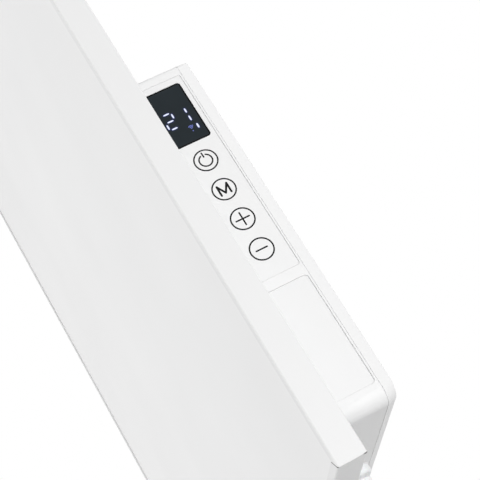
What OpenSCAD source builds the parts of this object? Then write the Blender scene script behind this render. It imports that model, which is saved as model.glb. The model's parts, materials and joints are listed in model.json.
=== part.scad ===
// Infrared panel heater on two wall brackets, with a control housing behind its right-hand edge.
// Millimetres. The wall is the plane Y = 0, the heater stands in front of it towards -Y, +Z is up,
// and the origin is the middle of the four wall-screw holes.

/* [Panel] */
// Width of the radiating panel
panel_w = 600; // [540:10:700]
// Height of the radiating panel
panel_h = 1000; // [900:10:1200]
// Depth of the frame that runs round the panel
panel_t = 14.4; // [13.6:0.2:18]
// Width of the frame lip on the front
lip_w = 4.8; // [4:0.2:8]
// Width of the frame flange on the back
flange_w = 10; // [9:0.5:13]
// Wall of the frame profile
frame_wall = 1.2; // [0.9:0.1:1.5]
// Radius on the outer edges of the frame profile
frame_edge_r = 0.8; // [0.4:0.1:1.2]
// Gap left at each mitred corner
mitre_gap = 0.15; // [0.1:0.05:0.4]
// Thickness of the enamelled front plate
front_t = 0.8; // [0.6:0.1:1.2]
// Thickness of the heating film
film_t = 0.6; // [0.4:0.1:0.9]
// Thickness of the back plate
back_t = 0.6; // [0.5:0.1:0.9]
// Leg of each corner key
key_leg = 30; // [24:1:45]

/* [Control housing] */
// Width of the housing
housing_w = 126; // [120:2:150]
// Height of the housing
housing_h = 196.5; // [195.5:0.5:212]
// Depth of the front shell, from the back plate to the seam
shell_d = 26.4; // [26:0.2:30]
// Depth of the rear cover
cover_d = 6; // [5.8:0.2:8]
// Distance from the panel's right side to the housing
housing_inset = 15.6; // [13.6:0.2:24]
// Height of the housing above the bottom of the panel
housing_lift = 19.2; // [17:0.2:36]
// Radius of the two lower corners of the housing
housing_r = 7; // [6.8:0.2:9]
// Radius of the two upper corners of the housing
housing_top_r = 2.8; // [2.6:0.2:5]
// How far the cover's sides and underside slope in towards the wall
cover_slope = 2.4; // [1.6:0.2:3]
// Width and depth of the line where the cover meets the shell
seam_line = 0.3; // [0.2:0.05:0.4]
// Wall of the housing
housing_wall = 2; // [1.8:0.1:2.3]
// Distance from the cover to the wall
wall_gap = 1.2; // [1:0.1:2.4]

/* [Controls] */
// Length of the control plate
control_l = 115.3; // [113.8:0.1:117]
// Width of the control plate
control_w = 22.8; // [22.4:0.1:23.2]
// Thickness of the control plate
control_t = 0.6; // [0.5:0.1:0.8]
// Distance from the top of the housing to the control plate
control_drop = 6.1; // [5.8:0.1:8]
// Gap round the control plate and the blank insert
trim_gap = 0.1; // [0.1:0.05:0.25]
// Length of the display window
window_l = 33; // [30:0.5:36]
// Width of the display window
window_w = 19.2; // [18.8:0.1:19.4]
// Distance from the top of the control plate to the window
window_drop = 3.6; // [2.6:0.1:4.6]
// Distance from the top of the control plate to the first touch key
key_drop = 48.2; // [47:0.1:50]
// Distance between two touch keys
key_pitch = 17.6; // [16.6:0.1:18]
// Distance between the control plate and the blank insert
insert_gap = 5.9; // [5.4:0.1:7.5]
// Distance from the blank insert to the bottom of the housing
insert_rise = 10.1; // [9:0.1:12]

/* [Wall mounting] */
// Distance between the two columns of wall screws
screw_span_x = 260; // [220:10:300]
// Distance between the upper and the lower wall screw of a bracket
screw_span_z = 30; // [26:1:40]
// Diameter of the wall-screw holes
screw_hole_d = 5.5; // [4.5:0.1:6.5]
// Distance from the top of the panel to the middle of the wall screws
screw_drop = 120; // [110:5:180]
// Width of a wall bracket
bracket_w = 50; // [44:1:60]
// Sheet thickness of brackets and hangers
sheet_t = 2; // [1.5:0.1:2.5]
// How far a bracket tongue reaches into its hanger
tongue_l = 16; // [12:1:20]
// Distance from the housing's left side to the right-hand spacer, the left one mirrors it
spacer_gap = 34; // [26:1:60]
// Diameter of the lower spacers
spacer_d = 18; // [14:1:24]

/* [Mains lead] */
// Diameter of the mains lead
cord_d = 7; // [6.6:0.1:7.4]
// Distance from the housing's left side to the lead
gland_side = 32.9; // [31:0.1:35]
// Distance from the wall to the lead
gland_y = 15; // [14:0.5:16.5]
// Length of the strain relief below the housing
boot_l = 26.4; // [24:0.2:30]
// Radius of the plug's face
plug_r = 19; // [18:0.5:20]

/* [Hidden] */
$fn = 48;
eps = 0.01;
slip = 0.3;

// planes through the depth of the heater
y_cover = -wall_gap;
y_seam = y_cover - cover_d;
y_plate = y_seam - shell_d;
y_rear = y_plate + frame_wall;
y_front = y_rear - panel_t;
y_film = y_front + frame_wall + front_t;
y_board = y_film + film_t;
board_t = y_plate - back_t - y_board;
z_top = screw_drop;
z_bottom = z_top - panel_h;
z_mid = (z_top + z_bottom) / 2;

// control housing
hx_right = panel_w / 2 - housing_inset;
hx_left = hx_right - housing_w;
hx_mid = (hx_right + hx_left) / 2;
hz_low = z_bottom + housing_lift;
hz_top = hz_low + housing_h;
hz_mid = (hz_low + hz_top) / 2;
floor_t = housing_wall;
y_floor = y_plate + floor_t;

// controls on the right-hand face of the housing
control_depth = control_t + 0.06;
y_control = (y_rear + y_seam) / 2;
control_top = hz_top - control_drop;
control_mid = control_top - control_l / 2;
control_corner = 1.2;
window_y = y_control - 0.6;
window_mid = control_top - window_drop - window_l / 2;
window_corner = 1.5;
keys = [for (i = [0:3]) control_top - key_drop - i * key_pitch];
spring_hole_d = 6;
// the two pieces of trim stand a little away from their pockets on the side of the seam
plate_shadow = 0.15;
insert_shadow = 0.45;
insert_t = control_t - 0.12;
window_t = control_t - 0.06;
insert_corner = 1.8;
insert_l = housing_h - control_drop - control_l - insert_gap - insert_rise;
insert_mid = hz_low + insert_rise + insert_l / 2;
window_rim = 2.4;
module_l = 20;
module_z = window_mid - 3.8;

// circuit boards
pcb_t = 1.6;
board_stand = 5;
x_inner = hx_right - housing_wall;
x_display = x_inner - board_stand;
display_w = control_w - 0.8;
display_l = control_l - 8;
display_posts = [for (a = [-1, 1], b = [-1, 1])
    [y_control + a * (control_w / 2 - 3), control_mid + b * (display_l / 2 - 3)]];
post_d = 4.8;
power_stand = 4;
y_power = y_floor + power_stand;
power_w = 84;
power_h = 100;
gland_x = hx_left + gland_side;
power_x = hx_left + housing_wall + 6 + power_w / 2;
harness_z = control_mid - display_l / 2 + 12;
power_mid = harness_z;
power_low = power_mid - power_h / 2;
power_top = y_power + pcb_t;
terminal = [32, 6 - gland_y - power_top, 16];
terminal_low = power_low + 4;
sensor = [5, 7, 12];
sensor_z = hz_low + 70;
power_posts = [for (a = [-1, 1], b = [-1, 1])
    [power_x + a * (power_w / 2 - 5), power_mid + b * (power_h / 2 - 5)]];
// screws
screw_d = 2.5;
thread_d = screw_d + 0.2;
clear_d = screw_d + 0.4;
head_d = 4.6;
head_t = 1.6;
cover_boss_d = 6.4;
shell_boss_d = cover_boss_d + 1.2;
boss_drop = 2;
cover_post_x = housing_w / 2 - 13.5;
cover_post_z = housing_h / 2 - housing_wall - slip - cover_boss_d / 2 - 1.3;
cover_posts = [for (a = [-1, 1], b = [-1, 1]) [hx_mid + a * cover_post_x, hz_mid + b * cover_post_z]];
shell_points = [for (a = [-1, 1], b = [-1, 1])
    [hx_mid + a * (housing_w / 2 - 20), hz_mid + b * (housing_h / 2 - 14)]];
rim_inset = flange_w / 2 + 0.6;

// heater leads run from the terminal block through the grommet to the film
lead_d = 3.2;
lead_x = gland_x + 9.5;
// the leads leave the back plate about halfway between the housing's bottom and the terminals
lead_share = 0.52;
lead_z = hz_low + lead_share * (terminal_low - hz_low);
lead_hole_d = 14;
cutout = [14, 5];
cutout_tab = [5, 3, 0.8];
cutout_room = 2;
lead_gap = 4.6;
grommet_bore = 9;
grommet_hole = 12.4;
grommet_rim = 16;

// hangers and brackets
hanger_flange = 22;
tongue_gap = 0.3;
y_tongue = y_plate + 2 * sheet_t;
bracket_top = screw_span_z / 2 + 14;
bracket_low = -screw_span_z / 2 - 12;
tongue_top = bracket_top + sheet_t + tongue_l + slip;
pad_t = 2;
pad_d = spacer_d - 5;
spacer_foot = 4;
spacer_x = hx_left - spacer_gap;
spacer_z = z_bottom + 50;

// strain relief and mains lead
relief = [28, 13];
relief_h = 5.4;
relief_inner = 3;
relief_neck_d = 11;
boot_top_d = 11;
boot_low_d = cord_d + 2;
cord_y = -gland_y;
z_boot = hz_low - boot_l;
lead_l = 60;
z_coil = z_boot - lead_l;
coil_turns = 6;
coil_step = cord_d + 1;
coil_in = 33;
coil_out = coil_in + coil_step * (coil_turns / 2 - 0.25);
coil_dip = 0.8;
coil_x = gland_x - coil_out;
coil_rings = 24;
coil_sides = 6;
y_tail = cord_y - coil_step;
tail_l = 114;
z_plug = z_coil - cord_d - tail_l;
plug_l = 46;
pin_d = 4.8;
pin_l = 19;
pin_span = 19;
clip_depth = 2;

// flat shapes
module rounded(w, h, r) {
    square([w - 2 * r, h], center = true);
    square([w, h - 2 * r], center = true);
    for (a = [-1, 1], b = [-1, 1])
        translate([a * (w / 2 - r), b * (h / 2 - r)]) circle(r);
}

// the outline of the housing, drawn in by some amount, with a different amount at the top
module outline(inset, top_inset, low_r) {
    top_r = max(housing_top_r - inset, 0.4);
    half = housing_w / 2 - inset;
    low = inset - housing_h / 2;
    high = housing_h / 2 - top_inset;
    for (a = [-1, 1]) {
        translate([a * (half - low_r), low + low_r]) circle(low_r);
        translate([a * (half - top_r), high - top_r]) circle(top_r);
    }
    translate([low_r - half, low]) square([2 * (half - low_r), high - low - top_r]);
    translate([-half, low + low_r]) square([2 * half, high - low - low_r - top_r]);
    translate([top_r - half, high - top_r - eps]) square([2 * (half - top_r), top_r + eps]);
}
module housing_plate(y, t, inset) {
    translate([hx_mid, y + t, hz_mid]) rotate([90, 0, 0]) linear_extrude(t)
        outline(inset, inset, housing_r - inset);
}

// a plate in the plane of the wall, growing towards the wall from y
module wall_plate(x, y, z, w, h, t, r = 0) {
    translate([x, y + t, z]) rotate([90, 0, 0]) linear_extrude(t)
        if (r > 0) rounded(w, h, r); else square([w, h], center = true);
}

// a plate in the plane of the housing's right-hand face, growing to the right from x
module side_plate(x, y, z, w, h, t, r = 0) {
    translate([x, y, z]) rotate([90, 0, 90]) linear_extrude(t)
        if (r > 0) rounded(w, h, r); else square([w, h], center = true);
}

// a round bar from y towards the wall, and one from x to the right
module y_bar(x, y, z, d, l) {
    translate([x, y + l, z]) rotate([90, 0, 0]) cylinder(d = d, h = l);
}
module x_bar(x, y, z, d, l) {
    translate([x, y, z]) rotate([0, 90, 0]) cylinder(d = d, h = l);
}

// a pan-head screw, its head's seat at y and its shank towards the room
module rear_screw(x, y, z, l) {
    difference() {
        union() {
            y_bar(x, y, z, head_d, head_t);
            y_bar(x, y - l, z, screw_d, l + eps);
        }
        for (a = [0, 90]) translate([x, y + head_t, z]) rotate([0, a, 0])
            cube([3, 1.6, 0.7], center = true);
    }
}

// frame: one mitred profile, four lengths
module rail_section() {
    intersection() {
        union() {
            translate([0, frame_edge_r]) square([panel_t, flange_w]);
            translate([frame_edge_r, 0]) square([panel_t - 2 * frame_edge_r, flange_w]);
            for (y = [frame_edge_r, panel_t - frame_edge_r])
                translate([y, frame_edge_r]) circle(frame_edge_r);
        }
        union() {
            square([panel_t, frame_wall]);
            square([frame_wall, lip_w]);
            translate([panel_t - frame_wall, 0]) square([frame_wall, flange_w]);
        }
    }
}
module rail(l) {
    gap = mitre_gap / sqrt(2);
    reach = flange_w + 2;
    intersection() {
        translate([-l / 2, 0, 0]) rotate([90, 0, 90]) linear_extrude(l) rail_section();
        translate([0, panel_t + 1, 0]) rotate([90, 0, 0]) linear_extrude(panel_t + 2)
            polygon([[-l / 2 + gap, 0], [l / 2 - gap, 0],
                [l / 2 - gap - reach, reach], [-l / 2 + gap + reach, reach]]);
    }
}
module rim_holes() {
    for (p = rim_points()) y_bar(p.x, y_plate - back_t - 1, p.y, thread_d, 6);
}
function rim_points() = concat(
    [for (a = [-0.36, -0.12, 0.12, 0.36], z = [z_bottom + rim_inset, z_top - rim_inset])
        [a * panel_w, z]],
    [for (x = [-1, 1], b = [-0.2, 0, 0.2]) [x * (panel_w / 2 - rim_inset), z_mid + b * panel_h]],
    [for (a = [-1, 1], b = [-1, 1])
        [a * (panel_w / 2 - key_leg * 0.7), z_mid + b * (panel_h / 2 - rim_inset)]]);
module frame_rail(l, x, z, turn) {
    color("white") difference() {
        translate([x, y_front, z]) rotate([0, turn, 0]) rail(l);
        rim_holes();
    }
}
module frame_bottom() { frame_rail(panel_w, 0, z_bottom, 0); }
module frame_top() { frame_rail(panel_w, 0, z_top, 180); }
module frame_left() { frame_rail(panel_h, -panel_w / 2, z_mid, 90); }
module frame_right() { frame_rail(panel_h, panel_w / 2, z_mid, -90); }

// an L-shaped key in each corner holds two rails together, under the back plate
module corner_keys() {
    inset = frame_wall + 0.1;
    arm = flange_w - inset - 0.5;
    y_low = y_board + 0.5;
    depth = y_plate - back_t - y_low;
    color("silver") for (a = [-1, 1], b = [-1, 1]) difference() {
        translate([a * (panel_w / 2 - inset), y_low, z_mid + b * (panel_h / 2 - inset)])
            mirror([max(0, a), 0, 0]) mirror([0, 0, max(0, b)]) {
                cube([key_leg, depth, arm]);
                cube([arm, depth, key_leg]);
            }
        y_bar(a * (panel_w / 2 - key_leg * 0.7), y_plate - back_t - 8,
            z_mid + b * (panel_h / 2 - rim_inset), thread_d, 9);
    }
}
module frame_screws() {
    color("silver") for (p = rim_points()) rear_screw(p.x, y_rear, p.y, frame_wall + back_t + 3);
}

// plates of the panel, from the front to the back
module front_plate() {
    color("white") wall_plate(0, y_front + frame_wall, z_mid,
        panel_w - 2 * frame_wall - 0.6, panel_h - 2 * frame_wall - 0.6, front_t);
}
module heating_film() {
    color("dimgray") wall_plate(0, y_film, z_mid, panel_w - 30, panel_h - 30, film_t);
}
cutouts = [for (a = [-1, 1]) [a * panel_w * 0.2, z_mid]];
module insulation_board() {
    color("lightyellow") difference() {
        wall_plate(0, y_board, z_mid, panel_w - 2 * flange_w - 2, panel_h - 2 * flange_w - 2, board_t);
        for (p = cutouts) y_bar(p.x, y_board - 1, p.y, cutout.x + 4 * cutout_room,
            cutout.y + cutout_tab.y + 1 + cutout_room / 2);
        y_bar(lead_x, y_board - 1, lead_z, lead_hole_d, board_t + 2);
    }
}
module back_plate() {
    color("gainsboro") difference() {
        wall_plate(0, y_plate - back_t, z_mid,
            panel_w - 2 * frame_wall - 0.6, panel_h - 2 * frame_wall - 0.6, back_t);
        for (p = concat(rim_points(), shell_points, hanger_points()))
            y_bar(p.x, y_plate - back_t - 1, p.y, thread_d, back_t + 2);
        y_bar(lead_x, y_plate - back_t - 1, lead_z, grommet_hole, back_t + 2);
    }
}
module thermal_cutouts() {
    color("dimgray") for (p = cutouts) {
        y_bar(p.x, y_board, p.y, cutout.x, cutout.y);
        for (b = [-1, 1])
            translate([p.x - cutout_tab.x / 2, y_board + cutout.y - eps, p.y + b * cutout.x / 4])
                cube(cutout_tab);
    }
}
module lead_grommet() {
    color("black") translate([lead_x, y_plate - back_t, lead_z]) rotate([-90, 0, 0])
        rotate_extrude() difference() {
            union() {
                translate([grommet_bore / 2, 0])
                    square([(grommet_hole - grommet_bore) / 2, back_t + floor_t]);
                translate([grommet_bore / 2, back_t + floor_t])
                    square([(grommet_rim - grommet_bore) / 2, 2]);
            }
            translate([grommet_rim / 2, back_t + floor_t + 2]) circle(1);
        }
}
module heater_leads() {
    bend = 6;
    y_turn = y_power + 9;
    color("firebrick") for (b = [-0.5, 0.5]) {
        x = lead_x + b * lead_gap;
        y_bar(x, y_board, lead_z, lead_d, y_turn - bend - y_board);
        translate([x, y_turn - bend, lead_z + bend]) rotate([90, 0, 90]) rotate([0, 0, -90])
            rotate_extrude(angle = 90) translate([bend, 0]) circle(d = lead_d);
        translate([x, y_turn, lead_z + bend]) cylinder(d = lead_d, h = terminal_low - lead_z - bend);
    }
}

// wall brackets and the hangers that hook over them
function hanger_points() = [for (a = [-1, 1], b = [-1, 1])
    [a * screw_span_x / 2 + b * (bracket_w / 2 - 10), tongue_top + sheet_t + hanger_flange / 2]];
module hanger(x) {
    w = bracket_w;
    color("lightgray") difference() {
        union() {
            wall_plate(x, y_plate, tongue_top + sheet_t + hanger_flange / 2, w, hanger_flange, sheet_t);
            translate([x - w / 2, y_plate, tongue_top])
                cube([w, 3 * sheet_t + tongue_gap, sheet_t]);
            translate([x - w / 2, y_tongue + tongue_gap, bracket_top + sheet_t + slip])
                cube([w, sheet_t, tongue_l + sheet_t]);
        }
        for (p = hanger_points()) y_bar(p.x, y_plate - 1, p.y, thread_d, sheet_t + 2);
    }
}
module hanger_left() { hanger(-screw_span_x / 2); }
module hanger_right() { hanger(screw_span_x / 2); }
module hanger_screws() {
    color("silver") for (p = hanger_points()) rear_screw(p.x, y_plate + sheet_t, p.y, sheet_t + back_t);
}
module bracket(x) {
    w = bracket_w - 2;
    y_out = y_tongue - sheet_t;
    color("gainsboro") difference() {
        union() {
            wall_plate(x, -sheet_t, (bracket_top + sheet_t + bracket_low) / 2,
                w, bracket_top + sheet_t - bracket_low, sheet_t);
            translate([x - w / 2, y_out, bracket_top]) cube([w, -y_out, sheet_t]);
            translate([x - w / 2, y_out, bracket_top]) cube([w, sheet_t, tongue_top - bracket_top]);
            for (a = [-1, 1]) translate([x + a * (w / 2 - sheet_t / 2), 0, 0]) rotate([90, 0, 90])
                translate([0, 0, -sheet_t / 2]) linear_extrude(sheet_t)
                    polygon([[-eps, bracket_low + 4], [-sheet_t, bracket_low + 4],
                        [y_out, bracket_top - 6], [y_out, bracket_top + eps], [-eps, bracket_top + eps]]);
        }
        for (b = [-1, 1]) y_bar(x, -sheet_t - 1, b * screw_span_z / 2, screw_hole_d, sheet_t + 2);
    }
}
module bracket_left() { bracket(-screw_span_x / 2); }
module bracket_right() { bracket(screw_span_x / 2); }
module spacer_posts() {
    l = -pad_t - y_plate;
    color("whitesmoke") for (a = [-1, 1]) translate([a * spacer_x, y_plate, spacer_z])
        rotate([-90, 0, 0]) rotate_extrude() polygon([[0, 0], [spacer_d / 2 + spacer_foot, 0],
            [spacer_d / 2 + spacer_foot, 2], [spacer_d / 2, 4], [spacer_d / 2 - 1, l], [0, l]]);
}
module spacer_pads() {
    color("dimgray") for (a = [-1, 1]) translate([a * spacer_x, -pad_t, spacer_z])
        rotate([-90, 0, 0]) rotate_extrude() difference() {
            square([pad_d / 2, pad_t]);
            translate([pad_d / 2, pad_t]) circle(0.8);
        }
}

// control housing: a front shell with pockets for its trim, and a rear cover that slopes in
module trim(z, h, r, t, shadow) {
    side_plate(hx_right - control_depth, y_control - shadow / 2, z, control_w - shadow, h, t, r);
}
module pocket(z, h, r) {
    side_plate(hx_right - control_depth, y_control, z, control_w + 2 * trim_gap, h + 2 * trim_gap, 5,
        r + trim_gap);
}
module housing_shell() {
    color("white") difference() {
        union() {
            difference() {
                union() {
                    housing_plate(y_plate, shell_d - seam_line, 0);
                    housing_plate(y_plate, shell_d, seam_line);
                }
                housing_plate(y_floor, shell_d, housing_wall);
            }
            for (p = cover_posts)
                y_bar(p.x, y_floor - 1, p.y, shell_boss_d, shell_d - floor_t + 1 - boss_drop);
            for (p = power_posts) y_bar(p.x, y_floor - 1, p.y, post_d, power_stand + 1);
            for (p = display_posts) x_bar(x_display, p.x, p.y, post_d, board_stand + 1);
        }
        pocket(control_mid, control_l, control_corner);
        pocket(insert_mid, insert_l, insert_corner);
        side_plate(x_inner - 1, window_y, window_mid,
            window_w - 2 * window_rim, window_l - 2 * window_rim, 5, 1);
        for (z = keys) x_bar(x_inner - 1, y_control, z, spring_hole_d, 5);
        for (p = cover_posts) y_bar(p.x, y_seam - boss_drop - 12, p.y, thread_d, 16);
        for (p = power_posts) y_bar(p.x, y_floor, p.y, thread_d, power_stand + 1);
        for (p = display_posts) x_bar(x_display - 1, p.x, p.y, thread_d, board_stand);
        for (p = shell_points) y_bar(p.x, y_plate - 1, p.y, clear_d, floor_t + 2);
        y_bar(lead_x, y_plate - 1, lead_z, grommet_hole, floor_t + 2);
        translate([gland_x, cord_y, hz_low - 1]) cylinder(d = relief_neck_d, h = housing_wall + 2);
        for (i = [0:7]) translate([hx_left - 1, y_floor + 4, hz_low + 26 + i * 5])
            cube([housing_wall + 2, 15, 2]);
    }
}

// a block over the whole housing whose sides and underside slope in, with a small round at the rear
module sloped_block(inset, d) {
    edge = 0.8;
    rear_r = housing_r + 1.2 - inset;
    translate([hx_mid, y_seam, hz_mid]) rotate([90, 0, 0]) mirror([0, 0, 1]) hull() {
        linear_extrude(eps) outline(inset, inset, housing_r - inset);
        translate([0, 0, d - edge]) linear_extrude(eps)
            outline(inset + cover_slope * (1 - edge / d), inset + 0.1, rear_r);
        translate([0, 0, d - edge / 4]) linear_extrude(eps)
            outline(inset + cover_slope, inset + edge / 3, rear_r);
        translate([0, 0, d - eps]) linear_extrude(eps)
            outline(inset + cover_slope + edge / 2, inset + edge, rear_r);
    }
}
module housing_cover() {
    wall = housing_wall - 0.5;
    rim = 1;
    rim_d = 1.4;
    rim_root = cover_d - wall - 1;
    rim_out = housing_wall + slip;
    color("white") difference() {
        union() {
            difference() {
                sloped_block(0, cover_d);
                translate([0, -eps, 0]) sloped_block(wall, cover_d - wall);
            }
            difference() {
                housing_plate(y_seam - rim_d, rim_d + rim_root, rim_out);
                housing_plate(y_seam - rim_d - 1, rim_d + cover_d, rim_out + rim);
            }
            for (p = cover_posts)
                y_bar(p.x, y_seam - boss_drop, p.y, cover_boss_d, boss_drop + cover_d - 1);
        }
        for (p = cover_posts) {
            y_bar(p.x, y_seam - boss_drop - 1, p.y, clear_d, cover_d + 6);
            y_bar(p.x, y_cover - 2 * head_t, p.y, head_d + 0.6, 3 * head_t);
        }
    }
}
module cover_screws() {
    color("silver") for (p = cover_posts) rear_screw(p.x, y_cover - 2 * head_t, p.y, cover_d + 6);
}
module housing_screws() {
    color("silver") for (p = shell_points) rear_screw(p.x, y_floor, p.y, floor_t + back_t);
}

// control plate, window and blank insert lie in pockets of the shell
module control_plate() {
    color("white") difference() {
        trim(control_mid, control_l, control_corner, control_t, plate_shadow);
        side_plate(hx_right - 3, window_y, window_mid,
            window_w + 0.3, window_l + 0.3, 4, window_corner + 0.15);
    }
}
module display_window() {
    color("black") side_plate(hx_right - control_depth, window_y, window_mid,
        window_w, window_l, window_t, window_corner);
}
module blank_insert() {
    color("white") trim(insert_mid, insert_l, insert_corner, insert_t, insert_shadow);
}
module display_board() {
    color("green") difference() {
        side_plate(x_display - pcb_t, y_control, control_mid, display_w, display_l, pcb_t, 1);
        for (p = display_posts) x_bar(x_display - 3, p.x, p.y, thread_d, 5);
    }
}
module display_module() {
    reach = hx_right - control_depth - slip - x_display;
    color("dimgray") side_plate(x_display, window_y, module_z,
        window_w - 2 * window_rim - 2 * slip, module_l, reach, 0.5);
}
module touch_springs() {
    reach = hx_right - control_depth - x_display;
    color("goldenrod") for (z = keys) translate([x_display, y_control, z]) rotate([0, 90, 0])
        rotate_extrude() union() {
            translate([1.5, 0]) square([0.5, reach]);
            square([2.6, 0.6]);
        }
}
module power_board() {
    color("green") difference() {
        wall_plate(power_x, y_power, power_mid, power_w, power_h, pcb_t, 2);
        for (p = power_posts) y_bar(p.x, y_power - 1, p.y, thread_d, pcb_t + 2);
    }
}
module board_screws() {
    color("silver") {
        for (p = power_posts) rear_screw(p.x, power_top, p.y, pcb_t + 3);
        for (p = display_posts) translate([x_display - pcb_t, p.x, p.y]) rotate([0, 0, 90])
            rear_screw(0, 0, 0, pcb_t + 3);
    }
}
module on_power(x, z, w, h, d, r = 0) {
    wall_plate(power_x + x, power_top, power_mid + z, w, h, d, r);
}
module relay() { color("royalblue") on_power(-27, 14, 16, 27, 16, 0.8); }
module transformer() {
    color("darkorange") {
        on_power(16, 25, 36, 28, 7, 1);
        on_power(16, 25, 29, 26, 19, 2);
    }
}
module capacitors() {
    color("navy") for (x = [4, 18, 32]) y_bar(power_x + x, power_top, power_mid - 22, 10, 16);
}
module terminal_block() {
    color("seagreen") difference() {
        wall_plate(gland_x, power_top, terminal_low + terminal.z / 2,
            terminal.x, terminal.z, terminal.y);
        for (i = [-2:2])
            y_bar(gland_x + i * 6, power_top + terminal.y - 5, terminal_low + terminal.z / 2, 4, 6);
    }
}
module radio_module() {
    color("silver") side_plate(x_display - pcb_t - 2.4, y_control, control_mid + 12, 16, 22, 2.4, 0.5);
}
module room_sensor() {
    color("dimgray") {
        translate([hx_left + housing_wall, y_floor + 12, sensor_z]) cube(sensor);
        translate([hx_left + housing_wall + sensor.x + 2, y_floor + 12 + sensor.y / 2, sensor_z - 3])
            cylinder(d = sensor.x, h = sensor.z + 6);
    }
}

// a tube swept along points: rings square to the route, one polyhedron
function unit(v) = v / norm(v);
function heading(p, i) = unit(p[min(i + 1, len(p) - 1)] - p[max(i - 1, 0)]);
function ring_at(p, t, side, d, n) = let (u = unit(cross(t, side)), v = cross(t, u))
    [for (k = [0:n - 1]) p + d / 2 * (cos(360 * k / n) * u + sin(360 * k / n) * v)];
module tube(p, d, n, side) {
    m = len(p);
    points = [for (i = [0:m - 1]) each ring_at(p[i], heading(p, i), side, d, n)];
    sides = [for (i = [0:m - 2], k = [0:n - 1]) each let (a = i * n + k, b = i * n + (k + 1) % n)
        [[a, b, a + n], [b, b + n, a + n]]];
    caps = [for (k = [1:n - 2]) each [[0, k + 1, k],
        [(m - 1) * n, (m - 1) * n + k, (m - 1) * n + k + 1]]];
    polyhedron(points = points, faces = concat(sides, caps));
}

// strain relief: an oval collar under the housing and a tapered boot, with a flange inside
module strain_relief() {
    color("white") {
        translate([gland_x, cord_y, hz_low - relief_h]) linear_extrude(relief_h)
            rounded(relief.x, relief.y, relief.y / 2 - 0.5);
        translate([gland_x, cord_y, z_boot])
            cylinder(d1 = boot_low_d, d2 = boot_top_d, h = boot_l - relief_h + eps);
        translate([gland_x, cord_y, hz_low - eps])
            cylinder(d = relief_neck_d - 0.4, h = housing_wall + eps);
        translate([gland_x, cord_y, hz_low + housing_wall]) linear_extrude(relief_inner)
            rounded(relief_neck_d + 6, relief_neck_d - 0.4, 3);
    }
}
module mains_tail() {
    low = hz_low + housing_wall + relief_inner;
    color("white") translate([gland_x, cord_y, low])
        cylinder(d = cord_d, h = terminal_low - low);
}
module board_harness() {
    y = power_top + 3.5;
    x_end = x_display - pcb_t;
    x_start = power_x + power_w / 2 - 6;
    color("gray") {
        x_bar(x_start, y, harness_z, 4, x_end - x_start);
        on_power(x_start - power_x, harness_z - power_mid, 8, 14, 7, 1);
        side_plate(x_end - 5, y, harness_z, 7, 12, 5, 0.5);
    }
}

// mains lead: straight down into a flat coil of two layers, and a tail to the plug
function coil_radius(a) = let (half = coil_turns * 180, t = a - half + 90)
    t < 0 ? coil_in - coil_step * t / 360
        : t > 180 ? coil_in + coil_step * (t - 180) / 360 : coil_in - coil_dip * sin(t);
function coil_climb(a) = let (t = a - coil_turns * 180 + 90)
    t <= 0 ? 0 : t >= 180 ? 1 : (1 - cos(t)) / 2;
function coil_point(a) = [coil_x + coil_radius(a) * cos(a), cord_y - coil_step * coil_climb(a),
    z_coil - cord_d - coil_radius(a) * sin(a)];
coil_route = concat([[gland_x, cord_y, z_coil]],
    [for (i = [0:coil_turns * coil_rings]) coil_point(i * 360 / coil_rings)],
    [[gland_x, y_tail, z_coil - 2 * cord_d]]);
coil_gap = min([for (i = [0:len(coil_route) - 1 - coil_rings / 2])
    min([for (j = [i + coil_rings / 2:len(coil_route) - 1]) norm(coil_route[i] - coil_route[j])])]) - cord_d;
coil_steps = [for (i = [1:len(coil_route) - 1]) norm(coil_route[i] - coil_route[i - 1])];
function total(v, i = 0) = i < len(v) ? v[i] + total(v, i + 1) : 0;
echo(coil_self_gap = coil_gap, coil_across = (coil_in + coil_out) / cord_d,
    cord_length = lead_l + total(coil_steps) + tail_l - cord_d);
module cord_lead() {
    color("white") tube([for (i = [0:5]) [gland_x, cord_y, z_boot - i * lead_l / 5]], cord_d, 8, [0, 1, 0]);
}
module cord_coil() { color("white") tube(coil_route, cord_d, coil_sides, [0, 1, 0]); }
module cord_tail() {
    top = z_coil - 2 * cord_d;
    color("white") tube([for (i = [0:8]) [gland_x, y_tail, top - i * (top - z_plug) / 8]],
        cord_d, 8, [0, 1, 0]);
}
module cord_tie() {
    span = 2 * coil_step + cord_d + 1.6;
    depth = coil_step + cord_d + 0.6;
    middle = (coil_in + coil_out) / 2 - coil_step / 8;
    strap = 1.6;
    width = 8;
    color("dimgray") translate([coil_x - middle, cord_y - coil_step / 2, z_coil - cord_d - width / 2])
        linear_extrude(width) difference() {
            rounded(span + 2 * strap, depth + 2 * strap, 3 + strap);
            rounded(span, depth, 2);
        }
}
module plug_body() {
    face = z_plug - plug_l;
    color("white") difference() {
        translate([gland_x, y_tail, z_plug]) rotate([180, 0, 0]) rotate_extrude()
            polygon([[0, 0], [boot_low_d / 2, 0], [7, 14], [11, 18], [14, 24], [plug_r - 1, 30],
                [plug_r, 32], [plug_r, plug_l - 1], [plug_r - 1, plug_l], [0, plug_l]]);
        for (a = [-1, 1]) translate([gland_x - 3, y_tail + a * plug_r - clip_depth, face - 1])
            cube([6, 2 * clip_depth, 16]);
    }
}

// two pins, and an earth clip in each slot of the plug
module plug_pins() {
    clip = [4, 1, 12.5];
    color("silver") for (a = [-1, 1]) {
        translate([gland_x + a * pin_span / 2, y_tail, z_plug - plug_l]) rotate([180, 0, 0])
            rotate_extrude() polygon([[0, 0], [pin_d / 2, 0], [pin_d / 2, pin_l - 1.2],
                [pin_d / 2 - 1.2, pin_l], [0, pin_l]]);
        translate([gland_x - clip.x / 2, y_tail + a * (plug_r - clip_depth + clip.y / 2) - clip.y / 2,
            z_plug - plug_l + 1]) cube(clip);
    }
}

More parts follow.
